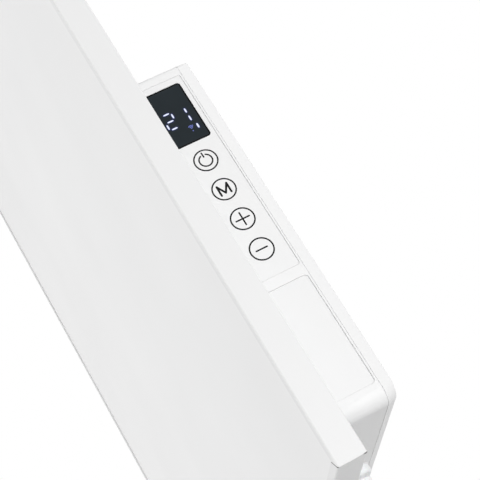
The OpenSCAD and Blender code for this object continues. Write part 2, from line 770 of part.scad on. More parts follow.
frame_bottom();
frame_top();
frame_left();
frame_right();
corner_keys();
frame_screws();
front_plate();
heating_film();
insulation_board();
back_plate();
thermal_cutouts();
lead_grommet();
heater_leads();
hanger_left();
hanger_right();
hanger_screws();
spacer_posts();
spacer_pads();
bracket_left();
bracket_right();
housing_shell();
housing_cover();
housing_screws();
cover_screws();
control_plate();
display_window();
blank_insert();
display_board();
display_module();
touch_springs();
power_board();
board_screws();
relay();
transformer();
capacitors();
terminal_block();
radio_module();
board_harness();
room_sensor();
strain_relief();
mains_tail();
cord_lead();
cord_coil();
cord_tail();
cord_tie();
plug_body();
plug_pins();
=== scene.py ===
# %% [markdown]
# # Infrared panel heater
# A radiating panel in a slim mitred frame hangs on two wall brackets. A control housing sits behind
# its right-hand edge, with a display and four touch keys on the side. The solids come from the
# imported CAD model, and this notebook gives them their finishes, prints and lit display, the mains
# lead, the light and the camera. All numbers are metres, with the wall at Y = 0 and Z up.

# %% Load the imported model
import bpy, bmesh
from math import cos, hypot, pi, radians, sin
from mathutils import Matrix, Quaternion, Vector
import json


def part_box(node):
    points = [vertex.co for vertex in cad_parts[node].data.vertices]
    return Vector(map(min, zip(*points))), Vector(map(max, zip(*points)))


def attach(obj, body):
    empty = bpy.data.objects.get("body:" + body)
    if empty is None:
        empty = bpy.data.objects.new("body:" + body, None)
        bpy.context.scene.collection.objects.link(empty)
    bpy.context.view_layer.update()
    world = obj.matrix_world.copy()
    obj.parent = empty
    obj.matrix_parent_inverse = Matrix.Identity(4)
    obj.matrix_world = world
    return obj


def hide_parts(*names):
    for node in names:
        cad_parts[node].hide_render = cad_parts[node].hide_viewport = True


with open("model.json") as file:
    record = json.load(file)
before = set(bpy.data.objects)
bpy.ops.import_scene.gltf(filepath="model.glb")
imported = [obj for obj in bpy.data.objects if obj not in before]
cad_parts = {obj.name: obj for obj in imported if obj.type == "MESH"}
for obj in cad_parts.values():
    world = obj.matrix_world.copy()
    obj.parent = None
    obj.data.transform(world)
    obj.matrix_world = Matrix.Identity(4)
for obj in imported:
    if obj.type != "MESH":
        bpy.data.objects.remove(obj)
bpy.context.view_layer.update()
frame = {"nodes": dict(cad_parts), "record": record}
nodes = frame["nodes"]
MM = 0.001

# %% [markdown]
# ## Camera
# The photograph looks up at the right-hand edge from below, with the camera rolled so that the long
# edges run from top left to bottom right. Three angles could be typed in, but a look-at rotation
# gives the direction from two points, and the roll is one more turn about the camera's own axis.
# That keeps the two easy to change on their own.

# %% Camera
def put(name, data):
    """A new object with this data, linked to the scene."""
    obj = bpy.data.objects.new(name, data)
    bpy.context.collection.objects.link(obj)
    return obj

def look_at(obj, target, roll=0.0):
    turn = (Vector(target) - obj.location).to_track_quat("-Z", "Y")
    obj.rotation_euler = (turn @ Quaternion((0, 0, 1), roll)).to_euler()

STANDS_AT = (0.8624, -0.18452, -1.01465)
LOOKS_AT = (0.2844, -0.026484, -0.76249)
ROLL = radians(-32.037)
camera = put("camera", bpy.data.cameras.new("camera"))
camera.location = STANDS_AT
camera.data.lens = 107.4
camera.data.sensor_width = 36
camera.data.clip_start = 0.01
look_at(camera, LOOKS_AT, ROLL)
bpy.context.scene.camera = camera
bpy.context.scene.view_settings.view_transform = "Standard"
bpy.context.view_layer.update()
print("camera up", [round(v, 4) for v in camera.matrix_world.to_3x3().col[1]])

# %% [markdown]
# ## Mains lead
# A round sheath of 7 mm leaves the strain relief and hangs straight down. The photograph shows only
# its first centimetre, so the rest of its 1.8 m is put away: a flat coil of two layers under a
# strap, then a tail to the plug. A pipe could be built ring by ring, but a curve with a round bevel
# stays smooth along the coil by itself, and it becomes a mesh once it is right. The route repeats
# the one in the CAD model, 24 points to a turn.

# %% Route of the lead
SHEATH = 7 * MM
LEAD_X, LEAD_Y, TAIL_Y = 0.1913, -0.015, -0.023
BOOT_Z, COIL_Z, PLUG_Z = -0.8872, -0.9472, -1.0682
TURNS, STEP, INNER, TUCK = 6, 8 * MM, 33 * MM, 0.8 * MM
DROP_POINTS, TURN_POINTS, TAIL_POINTS = 8, 24, 10
# the crossing to the second layer starts a quarter turn before the middle of the coil
COIL_X = LEAD_X - (INNER + STEP * (TURNS / 2 - 0.25))

def coil_point(turn):
    """A point of the coil after so many turns: the first layer runs inwards, the second outwards.
    Between them the lead crosses over within half a turn, tucked in a little."""
    past = (turn - TURNS / 2) * 360 + 90
    if past < 0:
        radius, layer = INNER - STEP * past / 360, 0
    elif past > 180:
        radius, layer = INNER + STEP * (past - 180) / 360, 1
    else:
        radius, layer = INNER - TUCK * sin(radians(past)), (1 - cos(radians(past))) / 2
    a = turn * 2 * pi
    return (COIL_X + radius * cos(a), LEAD_Y - STEP * layer, COIL_Z - SHEATH - radius * sin(a))

def hanging(y, top, low, points):
    return [(LEAD_X, y, top + (low - top) * i / points) for i in range(points + 1)]

coil = [coil_point(i / TURN_POINTS) for i in range(TURNS * TURN_POINTS + 1)]
route = (hanging(LEAD_Y, BOOT_Z, COIL_Z, DROP_POINTS) + coil
         + hanging(TAIL_Y, COIL_Z - 2 * SHEATH, PLUG_Z, TAIL_POINTS))
chords = [(Vector(a) - Vector(b)).length for a, b in zip(route, route[1:])]
print(len(route), "points, straight sum", round(sum(chords), 4), "m")

# %% The lead itself
def sheathed(name, points, radius, sides=6):
    """A round sheath along the points, swept as a curve and kept as a mesh."""
    data = bpy.data.curves.new(name, "CURVE")
    data.dimensions = "3D"
    data.bevel_depth, data.bevel_resolution, data.resolution_u = radius, sides, 3
    data.use_fill_caps = True
    line = data.splines.new("BEZIER")
    line.bezier_points.add(len(points) - 1)
    for knot, place in zip(line.bezier_points, points):
        knot.co = place
        knot.handle_left_type = knot.handle_right_type = "AUTO"
    swept = put(name + "_curve", data)
    shape = swept.evaluated_get(bpy.context.evaluated_depsgraph_get())
    obj = put(name, bpy.data.meshes.new_from_object(shape))
    bpy.data.objects.remove(swept)
    obj.data.polygons.foreach_set("use_smooth", [True] * len(obj.data.polygons))
    return obj

mains_lead = sheathed("mains_lead", route, SHEATH / 2)
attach(mains_lead, "heater")
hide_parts("cord_lead", "cord_coil", "cord_tail")
print("lead of", len(mains_lead.data.polygons), "faces, strap and plug go with it")

# %% [markdown]
# ### Strain relief
# The lead comes out of the housing through a moulded foot with a rounded lower edge, from which a
# short boot runs down to the sheath. A turned profile could only give round levels, and the foot is
# a stadium. So every level is one closed loop about the lead's axis, a stadium for the foot and a
# circle for the boot, and the piece is a stack of such loops, joined in order.

# %% Stacked loops
def join_loops(mesh, first, second):
    """A band of faces between two loops with the same number of points."""
    for i in range(len(first)):
        j = (i + 1) % len(first)
        mesh.faces.new((first[i], first[j], second[j], second[i]))

def finished_mesh(name, mesh):
    """The object of a bmesh, with its faces turned outwards."""
    bmesh.ops.recalc_face_normals(mesh, faces=mesh.faces)
    data = bpy.data.meshes.new(name)
    mesh.to_mesh(data)
    mesh.free()
    return put(name, data)

def loop_stack(name, rows, steps=96):
    """A closed mesh from rows of (z, reach), where reach gives a distance in mm for an angle."""
    mesh = bmesh.new()
    turns = [2 * pi * i / steps for i in range(steps)]
    loops = []
    for z, reach in rows:
        loops.append([mesh.verts.new((LEAD_X + reach(t) * cos(t) * MM,
                                      LEAD_Y + reach(t) * sin(t) * MM, z)) for t in turns])
    for above, below in zip(loops, loops[1:]):
        join_loops(mesh, above, below)
    mesh.faces.new(loops[0])
    mesh.faces.new(loops[-1])
    return finished_mesh(name, mesh)

print("loop helpers ready")

# %% Strain relief
FOOT_LONG, FOOT_WIDE, FOOT_DEEP, FOOT_ROUND = 14.0, 6.5, 4.8, 1.7
ROUND_STEPS, LEDGE = 6, 0.01
BOOT_TOP, BOOT_LOW = 6.3, 4.5
BOOT_END = ((1.0, 0.0), (0.3, 0.3), (0.0, 0.9))  # mm above the end, mm less in radius
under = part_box("housing_shell")[0].z

def stadium_reach(angle, half_long, half_wide):
    """How far the edge of a stadium lies from its centre, in the direction of the angle."""
    c, s = abs(cos(angle)), abs(sin(angle))
    flat = half_long - half_wide
    if s * flat <= c * half_wide - 1e-12:
        return c * flat + (half_wide ** 2 - (s * flat) ** 2) ** 0.5
    return half_wide / s

def foot(inset):
    """The foot's outline, so much further in, but never inside the boot."""
    return lambda t: max(stadium_reach(t, FOOT_LONG - inset, FOOT_WIDE - inset), BOOT_TOP)

def boot(radius):
    return lambda t: radius

rows = [(under, foot(0))]
for i in range(ROUND_STEPS + 1):
    a = pi / 2 * i / ROUND_STEPS
    rows.append((under - (FOOT_DEEP - FOOT_ROUND * (1 - sin(a))) * MM,
                 foot(FOOT_ROUND * (1 - cos(a)))))
rows.append((rows[-1][0] - LEDGE * MM, boot(BOOT_TOP)))
rows += [(BOOT_Z + above * MM, boot(BOOT_LOW - less)) for above, less in BOOT_END]
strain_relief = loop_stack("strain_relief_piece", rows)
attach(strain_relief, "heater")
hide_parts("strain_relief")
print("strain relief of", len(rows), "loops")

# %% [markdown]
# ## Effects that several finishes share
# Powder coat, enamel and moulded plastic differ mostly in the size and depth of their grain. So the
# grain is one node group with a size, used by each material with its own values. The same goes for
# slow changes of tone, drawn lines, bands and weave. Groups give out colours, masks and heights
# only, so that an export can read them.

# %% Helpers for node groups
def new_group(title, inputs, outputs):
    """A node group with sockets from (name, kind, value) and (name, kind) rows."""
    tree = bpy.data.node_groups.new(title, "ShaderNodeTree")
    for name, kind, value in inputs:
        socket = tree.interface.new_socket(name, in_out="INPUT", socket_type="NodeSocket" + kind)
        socket.default_value = value
    for name, kind in outputs:
        tree.interface.new_socket(name, in_out="OUTPUT", socket_type="NodeSocket" + kind)
    return tree, tree.nodes.new("NodeGroupInput"), tree.nodes.new("NodeGroupOutput")

def add(tree, kind, settings=(), **inputs):
    """A node with its settings. Its inputs go by name, or as n0, n1 and so on where a name is not
    unique, and each is a value or a socket to link."""
    node = tree.nodes.new("ShaderNode" + kind)
    for key, value in dict(settings).items():
        setattr(node, key, value)
    for key, value in inputs.items():
        by_number = key[0] == "n" and key[1:].isdigit()
        socket = node.inputs[int(key[1:]) if by_number else key.replace("_", " ")]
        if isinstance(value, bpy.types.NodeSocket):
            tree.links.new(value, socket)
        else:
            socket.default_value = value
    return node

def calc(tree, operation, a, b=0.0, clamp=False):
    return add(tree, "Math", {"operation": operation, "use_clamp": clamp}, n0=a, n1=b).outputs[0]

def vector(tree, operation, a, b, output=0):
    return add(tree, "VectorMath", {"operation": operation}, n0=a, n1=b).outputs[output]

def blend(tree, mask, a, b):
    """Colour a where the mask is 0, colour b where it is 1."""
    return add(tree, "Mix", {"data_type": "RGBA"}, n0=mask, n6=a, n7=b).outputs[2]

def here(tree):
    return add(tree, "TexCoord").outputs["Object"]

print("helpers ready")

# %% [markdown]
# ### Grain
# Noise gives the soft swell of a sprayed coat and cells give the pits of a spark-eroded mould. A
# real surface has some of both, so one input blends from the first to the second.

# %% Grain
CELLS_TO_SWELL = 1.6
grain, given, out = new_group("grain", [("Scale", "Float", 1000.0), ("Pits", "Float", 0.3)],
                              [("Height", "Float")])
place = here(grain)
swell = add(grain, "TexNoise", Vector=place, Scale=given.outputs["Scale"], Detail=3.0,
            Roughness=0.55)
finer = calc(grain, "MULTIPLY", given.outputs["Scale"], CELLS_TO_SWELL)
cells = add(grain, "TexVoronoi", Vector=place, Scale=finer)
pits = calc(grain, "MULTIPLY", cells.outputs["Distance"], given.outputs["Pits"])
grain.links.new(calc(grain, "SUBTRACT", swell.outputs[0], pits), out.inputs["Height"])
print("grain has", len(grain.nodes), "nodes")

# %% [markdown]
# ### Slow drift of tone
# No painted sheet or moulded wall is one exact colour. The drift takes a colour and darkens it a
# little in wide soft patches, and gives the same patches out as a mask for the roughness.

# %% Drift
drift, given, out = new_group("drift", [("Colour", "Color", (0.8, 0.8, 0.8, 1)),
    ("Amount", "Float", 0.02), ("Scale", "Float", 8.0)], [("Colour", "Color"), ("Mask", "Float")])
patch = add(drift, "TexNoise", Vector=here(drift), Scale=given.outputs["Scale"], Detail=2.0)
mask = add(drift, "MapRange", Value=patch.outputs[0], From_Min=0.3, From_Max=0.7).outputs[0]
shade = calc(drift, "SUBTRACT", 1.0, calc(drift, "MULTIPLY", mask, given.outputs["Amount"]))
tinted = add(drift, "VectorMath", {"operation": "SCALE"}, n0=given.outputs["Colour"], Scale=shade)
drift.links.new(tinted.outputs[0], out.inputs["Colour"])
drift.links.new(mask, out.inputs["Mask"])
print("drift has", len(drift.nodes), "nodes")

# %% [markdown]
# ### Drawn lines
# Drawn or turned metal shows fine lines along one direction. Noise that is squeezed along two axes
# and stretched along the third gives them without any picture.

# %% Drawn lines
lines, given, out = new_group("drawn_lines", [("Along", "Vector", (3000, 3000, 40))],
                              [("Height", "Float")])
squeezed = vector(lines, "MULTIPLY", here(lines), given.outputs["Along"])
streak = add(lines, "TexNoise", Vector=squeezed, Scale=1.0, Detail=3.0)
lines.links.new(streak.outputs[0], out.inputs["Height"])
print("drawn lines have", len(lines.nodes), "nodes")

# %% [markdown]
# ### Bands and weave
# Heater tracks, board traces and the tape of a transformer are all parallel bands. Two sets of
# waves that cross, multiplied with each other, read as a woven strap.

# %% Bands
EDGE_CRISPNESS = 12.0
bands, given, out = new_group("bands", [("Direction", "Vector", (0, 0, 1)),
    ("Count", "Float", 100.0), ("Share", "Float", 0.5)], [("Mask", "Float"), ("Height", "Float")])
along = vector(bands, "DOT_PRODUCT", here(bands), given.outputs["Direction"], "Value")
step = calc(bands, "FRACT", calc(bands, "MULTIPLY", along, given.outputs["Count"]))
ridge = calc(bands, "PINGPONG", step, 0.5)
edge = calc(bands, "SUBTRACT", calc(bands, "MULTIPLY", ridge, 2.0), given.outputs["Share"])
mask = calc(bands, "MULTIPLY", edge, EDGE_CRISPNESS, clamp=True)
bands.links.new(mask, out.inputs["Mask"])
bands.links.new(ridge, out.inputs["Height"])
print("bands have", len(bands.nodes), "nodes")

# %% Weave
weave, given, out = new_group("weave", [("First", "Vector", (1, 0, 1)),
    ("Second", "Vector", (1, 0, -1)), ("Count", "Float", 800.0)], [("Height", "Float")])
threads = []
for side in ("First", "Second"):
    along = vector(weave, "DOT_PRODUCT", here(weave), given.outputs[side], "Value")
    threads.append(calc(weave, "SINE", calc(weave, "MULTIPLY", along, given.outputs["Count"])))
crossed = calc(weave, "MULTIPLY", *threads)
# half the product plus the node's own third value, a half, so the height runs from 0 to 1
weave.links.new(calc(weave, "MULTIPLY_ADD", crossed, 0.5), out.inputs["Height"])
print("weave has", len(weave.nodes), "nodes")

# %% [markdown]
# ### Nearness to a box
# The dark window needs a rim, and a faint glow round each lit segment. Both are the same question:
# how far is this point from a box. The group answers with a mask that is 1 on the box and fades
# to 0 over a given spread.

# %% Box mask
near_box, given, out = new_group("near_box", [("Centre", "Vector", (0, 0, 0)),
    ("Half", "Vector", (1, 1, 1)), ("Spread", "Float", 0.001)], [("Mask", "Float")])
offset = vector(near_box, "SUBTRACT", here(near_box), given.outputs["Centre"])
far = add(near_box, "VectorMath", {"operation": "ABSOLUTE"}, n0=offset).outputs[0]
past = vector(near_box, "SUBTRACT", far, given.outputs["Half"])
outside = vector(near_box, "MAXIMUM", past, (0, 0, 0))
reach = add(near_box, "VectorMath", {"operation": "LENGTH"}, n0=outside).outputs["Value"]
share = calc(near_box, "DIVIDE", reach, given.outputs["Spread"])
fade = calc(near_box, "SUBTRACT", 1.0, share, clamp=True)
near_box.links.new(calc(near_box, "MULTIPLY", fade, fade), out.inputs["Mask"])
print("box mask has", len(near_box.nodes), "nodes")

# %% [markdown]
# ## Finishes
# Each material slot of the record becomes one material. A constant such as the coat or the metal
# goes straight on the Principled shader, and what changes over the surface comes from the groups.

# %% Base for every finish
ROUGHNESS_SPREAD = 0.06

def plain_finish(name, **constants):
    """A material with constants on its shader. It returns the material, its tree and the shader."""
    mat = bpy.data.materials.new(name)
    mat.use_nodes = True
    shader = mat.node_tree.nodes["Principled BSDF"]
    for key, value in constants.items():
        shader.inputs[key.replace("_", " ")].default_value = value
    return mat, mat.node_tree, shader

def finish(name, colour, roughness, drift_amount=0.02, drift_scale=9.0, **constants):
    """A material whose tone and roughness drift slowly."""
    mat, tree, shader = plain_finish(name, **constants)
    tone = add(tree, "Group", {"node_tree": drift}, Colour=(*colour, 1), Amount=drift_amount,
               Scale=drift_scale)
    tree.links.new(tone.outputs["Colour"], shader.inputs["Base Color"])
    rough = add(tree, "MapRange", Value=tone.outputs["Mask"],
                To_Min=roughness - ROUGHNESS_SPREAD / 2, To_Max=roughness + ROUGHNESS_SPREAD / 2)
    tree.links.new(rough.outputs[0], shader.inputs["Roughness"])
    return mat, tree, shader

def relief(tree, shader, group, strength, depth, **values):
    """Bump on a finish from one of the groups."""
    source = add(tree, "Group", {"node_tree": group}, **values)
    bump = add(tree, "Bump", Strength=strength, Distance=depth, Height=source.outputs["Height"])
    tree.links.new(bump.outputs[0], shader.inputs["Normal"])
    return source

def paint_over(tree, shader, mask, colour):
    """Another colour over the one that the shader has, where the mask is 1."""
    under = shader.inputs["Base Color"].links[0].from_socket
    tree.links.new(blend(tree, mask, under, (*colour, 1)), shader.inputs["Base Color"])

finishes = {}
print("ready for the finishes")

# %% [markdown]
# ### Grained finishes
# Most of the object is white: powder coat on the frame, a slightly lighter enamel on the plate, and
# a spark-eroded plastic housing. They share one recipe, and one row each gives the colour,
# roughness, grain size, pits and depth. The mouldings out of sight follow in the same table.

# %% Grained finishes
GRAIN_STRENGTH = 0.35
GRAINED = {
    # slot: colour, roughness, grain per metre, pits, depth of the grain in mm, drift, constants
    "frame_white": ((0.825, 0.825, 0.825), 0.42, 900, 0.15, 0.05, 0.015, {}),
    "front_white": ((0.905, 0.905, 0.905), 0.5, 1500, 0.25, 0.05, 0.02, {}),
    "housing_white": ((0.857, 0.857, 0.857), 0.46, 2600, 0.5, 0.03, 0.012, {}),
    "control_white": ((0.84, 0.84, 0.84), 0.42, 700, 0.1, 0.015, 0.01, {"Coat_Weight": 0.15}),
    "bracket_steel": ((0.84, 0.842, 0.846), 0.5, 1100, 0.3, 0.08, 0.03, {}),
    "cord_white": ((0.88, 0.88, 0.878), 0.4, 1800, 0.1, 0.02, 0.02, {"Subsurface_Weight": 0.05}),
    "aluminium": ((0.72, 0.73, 0.74), 0.45, 2200, 0.6, 0.08, 0.08, {"Metallic": 1.0}),
    "dark_plastic": ((0.035, 0.035, 0.038), 0.5, 3000, 0.5, 0.04, 0.15, {}),
    "rubber": ((0.03, 0.03, 0.03), 0.75, 1600, 0.4, 0.08, 0.2, {}),
    "relay_blue": ((0.03, 0.12, 0.45), 0.25, 900, 0.1, 0.02, 0.08, {"Coat_Weight": 0.3}),
    "terminal_green": ((0.04, 0.3, 0.13), 0.42, 2600, 0.4, 0.03, 0.08, {}),
    "insulation": ((0.78, 0.74, 0.6), 0.9, 500, 0.5, 0.6, 0.15, {}),
}
for slot, (colour, rough, per_metre, pit, depth, amount, constants) in GRAINED.items():
    mat, tree, shader = finish(slot, colour, rough, drift_amount=amount, **constants)
    relief(tree, shader, grain, GRAIN_STRENGTH, depth * MM, Scale=float(per_metre), Pits=pit)
    finishes[slot] = mat
print(len(finishes), "grained finishes")

# %% [markdown]
# ### Mitred corners
# The frame is painted after it is cut, but the saw cuts at the corners stay open on the lip and at
# the rear edge, and the shade inside them shows as a dark line. That shade is painted into the
# frame's colour. A thin dark solid could stand for it, but it would have to sink into the paint; a
# mask needs none: the line lies where a point is as far from one side of the panel as from the
# next, and it is kept to the lip and to the last millimetres at the rear.

# %% Mitre line, a painted shade
CUT_CORE, CUT_EDGE = 0.25 * MM, 0.6 * MM
LIP_SKIN, LIP_FADE = 0.3 * MM, 0.5 * MM
REAR_DARK, REAR_FADE = 1.4 * MM, 2.4 * MM
# near-black of the painted shade in the open cuts
PAINTED_CUT_SHADE = (0.02, 0.02, 0.02)
frame_low, frame_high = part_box("frame_bottom")[0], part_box("frame_top")[1]
frame_mid, frame_half = (frame_low + frame_high) / 2, (frame_high - frame_low) / 2
tree = finishes["frame_white"].node_tree
spot = vector(tree, "SUBTRACT", here(tree), frame_mid)
depth = add(tree, "SeparateXYZ", n0=spot).outputs["Y"]
spot = add(tree, "VectorMath", {"operation": "ABSOLUTE"}, n0=spot).outputs[0]
spot = add(tree, "SeparateXYZ", n0=spot)
aside = calc(tree, "SUBTRACT", spot.outputs["Z"], spot.outputs["X"])
aside = calc(tree, "ABSOLUTE", calc(tree, "SUBTRACT", aside, frame_half.z - frame_half.x))
line = add(tree, "MapRange", Value=aside, From_Min=CUT_CORE, From_Max=CUT_EDGE, To_Min=1.0,
           To_Max=0.0)
lip = add(tree, "MapRange", Value=depth, From_Min=LIP_FADE - frame_half.y,
          From_Max=LIP_SKIN - frame_half.y)
rear = add(tree, "MapRange", Value=depth, From_Min=frame_half.y - REAR_FADE,
           From_Max=frame_half.y - REAR_DARK)
skin = calc(tree, "MAXIMUM", lip.outputs[0], rear.outputs[0])
# mask of the painted shade: the line, kept to the lip and the rear edge
dark = calc(tree, "MULTIPLY", line.outputs[0], skin)
paint_over(tree, tree.nodes["Principled BSDF"], dark, PAINTED_CUT_SHADE)
print("mitre line from", round(frame_half.z - frame_half.x, 4), "m off the middle")

# %% [markdown]
# ### Drawn and turned metal
# Zinc-plated screws, spring steel and the nickel pins are bare metal. Each gets lines along its own
# axis: screws turned about Y, springs about X and pins drawn along Z.

# %% Metals
METALS = {
    # slot: colour, roughness, noise per metre along X, Y and Z
    "zinc_screws": ((0.66, 0.67, 0.69), 0.32, (2500, 60, 2500)),
    "spring_steel": ((0.58, 0.57, 0.55), 0.3, (60, 2500, 2500)),
    "plug_nickel": ((0.78, 0.76, 0.73), 0.18, (3000, 3000, 60)),
}
for slot, (colour, rough, along) in METALS.items():
    mat, tree, shader = finish(slot, colour, rough, drift_amount=0.06, drift_scale=30.0,
                               Metallic=1.0)
    relief(tree, shader, lines, strength=0.15, depth=0.02 * MM, Along=along)
    finishes[slot] = mat
print("metals:", ", ".join(METALS))

# %% [markdown]
# ### Galvanised sheet
# Zinc freezes in flat crystals, each with its own tone. Voronoi cells have just that look: one
# random value for a whole cell, which drives both the colour and the roughness.

# %% Galvanised sheet
CRYSTALS = 160.0  # per metre
mat, tree, shader = plain_finish("galvanised", Metallic=0.85)
crystals = add(tree, "TexVoronoi", Vector=here(tree), Scale=CRYSTALS)
tone = add(tree, "ValToRGB", Fac=crystals.outputs["Color"])
tone.color_ramp.elements[0].color = (0.57, 0.585, 0.6, 1)
tone.color_ramp.elements[1].color = (0.7, 0.712, 0.725, 1)
tree.links.new(tone.outputs[0], shader.inputs["Base Color"])
shine = add(tree, "MapRange", Value=crystals.outputs["Color"], To_Min=0.36, To_Max=0.5)
tree.links.new(shine.outputs[0], shader.inputs["Roughness"])
relief(tree, shader, grain, strength=0.2, depth=0.05 * MM, Scale=700.0, Pits=0.2)
finishes["galvanised"] = mat
print("galvanised sheet, about", round(1000 / CRYSTALS), "mm to a crystal")

# %% [markdown]
# ### Banded finishes
# The heating film carries carbon tracks, the boards copper traces under green resist, the
# transformer a yellow tape and the harness its single wires. Each is bands over a base colour.

# %% Banded finishes
BANDED = {
    # slot: base, band, roughness, direction, bands per metre, share of the base
    "film": ((0.05, 0.05, 0.055), (0.012, 0.012, 0.014), 0.45, (0, 0, 1), 60, 0.25),
    "circuit_board": ((0.02, 0.16, 0.07), (0.04, 0.27, 0.1), 0.3, (0.3, 0, 1), 260, 0.6),
    "transformer_yellow": ((0.62, 0.4, 0.05), (0.7, 0.5, 0.1), 0.5, (0, 1, 0), 180, 0.3),
    "harness_grey": ((0.3, 0.3, 0.31), (0.5, 0.5, 0.5), 0.5, (0, 1, 0), 800, 0.4),
    "lead_red": ((0.36, 0.04, 0.025), (0.5, 0.07, 0.04), 0.55, (1, 0, 1), 900, 0.4),
}
for slot, (base, band, rough, way, count, part) in BANDED.items():
    mat, tree, shader = finish(slot, base, rough, drift_amount=0.08)
    source = relief(tree, shader, bands, strength=0.3, depth=0.05 * MM, Direction=way,
                    Count=float(count), Share=part)
    paint_over(tree, shader, source.outputs["Mask"], band)
    finishes[slot] = mat
print("banded:", ", ".join(BANDED))

# %% Woven strap
mat, tree, shader = finish("tie_grey", (0.2, 0.2, 0.21), 0.8, drift_amount=0.1)
relief(tree, shader, weave, strength=0.6, depth=0.25 * MM, First=(1, 1, 1), Second=(1, 1, -1),
       Count=5200.0)
finishes["tie_grey"] = mat
print("woven strap done,", len(finishes), "finishes")

# %% [markdown]
# ## Printed key signs
# Four touch keys carry a ring and a sign, printed in a near-black ink. Ink lies on the surface, so
# each stroke is a solid 0.03 mm thick that stands on the control plate. A drawing inside the
# plate's material would do as well, but real strokes stay sharp at any distance. Strokes that cross
# get slightly different heights, so that no two faces share a plane.

# %% Outlines in the plane of the side
def capsule(a, b, width, ends=8):
    """The outline of a stroke with round ends from a to b, each a (y, z) pair in mm."""
    (ay, az), (by, bz) = a, b
    length = hypot(by - ay, bz - az)
    uy, uz = (by - ay) / length, (bz - az) / length
    line = []
    for (py, pz), turn in ((b, -pi / 2), (a, pi / 2)):
        for i in range(ends + 1):
            t = turn + pi * i / ends
            c, s = cos(t) * width / 2, sin(t) * width / 2
            line.append((py + c * uy - s * uz, pz + c * uz + s * uy))
    return line

def circle(y, z, radius, steps=72):
    return [(y + radius * cos(2 * pi * i / steps), z + radius * sin(2 * pi * i / steps))
            for i in range(steps)]

def arc_band(y, z, radius, width, start, end, steps=48):
    """The outline of a band along an arc, from start to end in degrees."""
    turns = [radians(start + (end - start) * i / steps) for i in range(steps + 1)]
    sweep = lambda r, ts: [(y + r * cos(t), z + r * sin(t)) for t in ts]
    return sweep(radius + width / 2, turns) + sweep(radius - width / 2, turns[::-1])

print("outline helpers ready")

# %% Thin solids from outlines
HEIGHTS, HEIGHT_STEP = 4, 0.15

def plate_from(name, outlines, x, thickness):
    """Thin solids that stand on the plane at x: an outline is a loop or an (outer, inner) pair."""
    mesh = bmesh.new()
    for number, outline in enumerate(outlines):
        top = x + thickness * (1 + HEIGHT_STEP * (number % HEIGHTS))
        loops = outline if isinstance(outline, tuple) else (outline,)
        rings = [[[mesh.verts.new((h, y * MM, z * MM)) for y, z in loop] for h in (x, top)]
                 for loop in loops]
        for low, high in rings:
            join_loops(mesh, low, high)
        if len(rings) == 1:
            mesh.faces.new(rings[0][1])
        else:
            join_loops(mesh, rings[0][1], rings[1][1])
    obj = finished_mesh(name, mesh)
    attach(obj, "heater")
    return obj

print("plates rise in", HEIGHTS, "heights")

# %% Rings and signs
KEY_Y = -20.0
POWER, MODE, PLUS, MINUS = -718.3, -735.9, -753.5, -771.1
RING, STROKE, LETTER_STROKE, BAR_STROKE = 5.6, 0.73, 0.98, 0.76
POWER_ARC, POWER_GAP, POWER_BAR = 3.2, 18, [(-0.1, 4.4), (-0.05, 2.0)]
MODE_LINE = [(-2.6, -2.65), (-2.6, 2.55), (-0.15, -2.1), (2.5, 2.55), (2.5, -2.65)]
PLUS_ARM, MINUS_ARM = 3.4, 2.8
INK_THICK = 0.03 * MM
face_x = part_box("control_plate")[1].x
rings = [(circle(KEY_Y, z, RING + STROKE / 2), circle(KEY_Y, z, RING - STROKE / 2))
         for z in (POWER, MODE, PLUS, MINUS)]
power_sign = [arc_band(KEY_Y, POWER, POWER_ARC, STROKE, 90 + POWER_GAP, 450 - POWER_GAP),
              capsule(*[(KEY_Y + y, POWER + z) for y, z in POWER_BAR], STROKE)]
mode_points = [(KEY_Y + y, MODE + z) for y, z in MODE_LINE]
mode_sign = [capsule(a, b, LETTER_STROKE) for a, b in zip(mode_points, mode_points[1:])]
plus_sign = [capsule((KEY_Y, PLUS - PLUS_ARM), (KEY_Y, PLUS + PLUS_ARM), BAR_STROKE),
             capsule((KEY_Y - PLUS_ARM, PLUS), (KEY_Y + PLUS_ARM, PLUS), BAR_STROKE)]
minus_sign = [capsule((KEY_Y - MINUS_ARM, MINUS), (KEY_Y + MINUS_ARM, MINUS), BAR_STROKE)]
key_signs = plate_from("key_signs", rings + power_sign + mode_sign + plus_sign + minus_sign,
                       face_x, INK_THICK)
mat, tree, shader = finish("key_ink", (0.009, 0.009, 0.01), 0.5, drift_amount=0.1,
                           Specular_IOR_Level=0.1)
relief(tree, shader, grain, strength=0.2, depth=0.01 * MM, Scale=3000.0, Pits=0.2)
key_signs.data.materials.append(mat)
print("signs stand on x =", round(face_x, 5), "with", len(key_signs.data.polygons), "faces")

# %% [markdown]
# ## Lit display
# White segments show a temperature of 21, with a dot and a small fan-shaped sign. On the real
# object they shine through the smoked window from behind. The window here is opaque, so they stand
# on its face as thin solids. A lit segment looks white in the middle and lavender at its edge, so
# each one is two shapes, a wider lavender one and a slimmer white one on it, and both give light.

# %% Segment outlines
def segment(y, z, long_y, long_z, power=2.6, steps=28):
    """A soft lozenge, rounder than a box and fuller than an ellipse."""
    line = []
    for i in range(steps):
        c, s = cos(2 * pi * i / steps), sin(2 * pi * i / steps)
        line.append((y + long_y / 2 * abs(c) ** (2 / power) * (1 if c >= 0 else -1),
                     z + long_z / 2 * abs(s) ** (2 / power) * (1 if s >= 0 else -1)))
    return line

